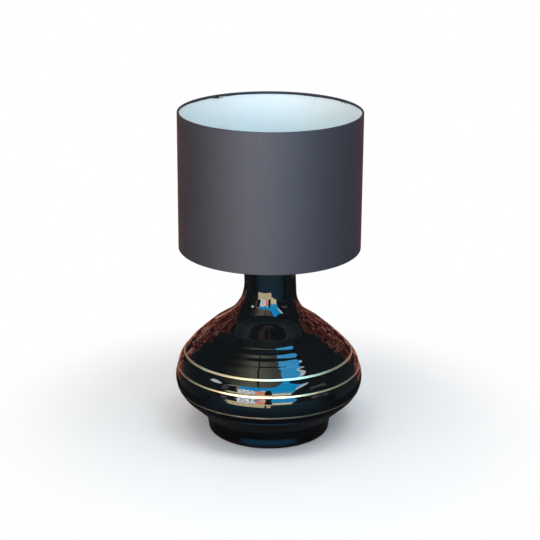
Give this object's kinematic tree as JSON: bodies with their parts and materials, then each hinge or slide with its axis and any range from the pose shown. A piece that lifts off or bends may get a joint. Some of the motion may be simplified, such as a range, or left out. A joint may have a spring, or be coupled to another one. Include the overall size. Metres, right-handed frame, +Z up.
{
  "type": "ceramic table lamp",
  "caption": "Table lamp with a black glazed ceramic body, gold lines round its belly, a drum shade on a spider and a switched screw lampholder.",
  "frame": {"origin": "middle of the felt ring's underside, the face the lamp rests on", "axes": "+Z up along the lamp's axis; -Y to the front; the cord inlet points to +Y; the switch bar lies along X"},
  "size_m": [0.3136, 0.3134, 0.548],
  "materials": {
    "glaze": "mirror-gloss black glaze",
    "gold": "fired gold lustre",
    "felt": "pressed felt",
    "black_plastic": "fine moulded grain",
    "black_steel": "satin black paint",
    "zinc_steel": "zinc plated",
    "brass_part": "bright stamped brass",
    "nickel_brass": "nickel plated",
    "rubber_part": "soft matt rubber",
    "block_insulator": "unglazed steatite",
    "bulb_black": "glossy insulator",
    "bulb_white": "white moulded plastic",
    "bulb_opal": "opal diffuser",
    "board_aluminium": "satin",
    "chip_yellow": "light chip",
    "shade_fabric": "fine dark grey weave",
    "shade_lining": "pale laminated sheet",
    "white_wire": "white coated wire"
  },
  "bodies": {
    "lamp_base": {"ceramic_body": "glaze", "gold_line_upper": "gold", "gold_line_middle": "gold", "gold_line_lower": "gold", "felt_ring": "felt", "cord_grommet": "black_plastic", "floor_cushion": "rubber_part", "floor_washer": "zinc_steel", "floor_nut": "zinc_steel", "neck_gasket": "rubber_part", "neck_cap": "black_steel", "neck_washer": "zinc_steel", "neck_nut": "zinc_steel", "holder_cup": "black_plastic", "threaded_rod": "zinc_steel", "grub_screw": "zinc_steel", "insulating_block": "block_insulator", "switch_leaves": "brass_part", "terminals": "brass_part", "terminal_screws": "zinc_steel", "holder_contact": "brass_part", "screw_liner": "brass_part", "holder_sleeve": "black_plastic", "lower_shade_ring": "black_plastic", "upper_shade_ring": "black_plastic"},
    "switch": {"switch_bar": "black_plastic", "switch_bridge": "brass_part"},
    "bulb_carrier": {"bulb_contact": "nickel_brass"},
    "bulb": {"bulb_insulator": "bulb_black", "bulb_cap": "nickel_brass", "bulb_collar": "bulb_white", "bulb_globe": "bulb_opal", "light_board": "board_aluminium", "light_chips": "chip_yellow"},
    "shade": {"shade_cover": "shade_fabric", "shade_liner": "shade_lining", "shade_seam": "shade_lining", "top_hem": "shade_fabric", "bottom_hem": "shade_fabric", "top_wire": "white_wire", "bottom_wire": "white_wire", "shade_hub": "white_wire", "shade_arm_1": "white_wire", "shade_arm_2": "white_wire", "shade_arm_3": "white_wire"}
  },
  "joints": [
    {"name": "switch_slide", "type": "slide", "parent": "lamp_base", "child": "switch", "axis": [-1, 0, 0], "range_m": [0, 0.006]},
    {"name": "bulb_rise", "type": "slide", "parent": "lamp_base", "child": "bulb_carrier", "axis": [0, 0, 1], "range_m": [0, 0.01634]},
    {"name": "bulb_turn", "type": "hinge", "parent": "bulb_carrier", "child": "bulb", "pos_m": [0, 0, 0.35], "axis": [0, 0, 1], "range_deg": [0, 1620]},
    {"name": "shade_turn", "type": "hinge", "parent": "lamp_base", "child": "shade", "pos_m": [0, 0, 0.3492], "axis": [0, 0, 1], "continuous": true}
  ],
  "couplings": [
    {"joint": "bulb_rise", "follows": "bulb_turn", "m_per_rad": 0.00057757}
  ]
}
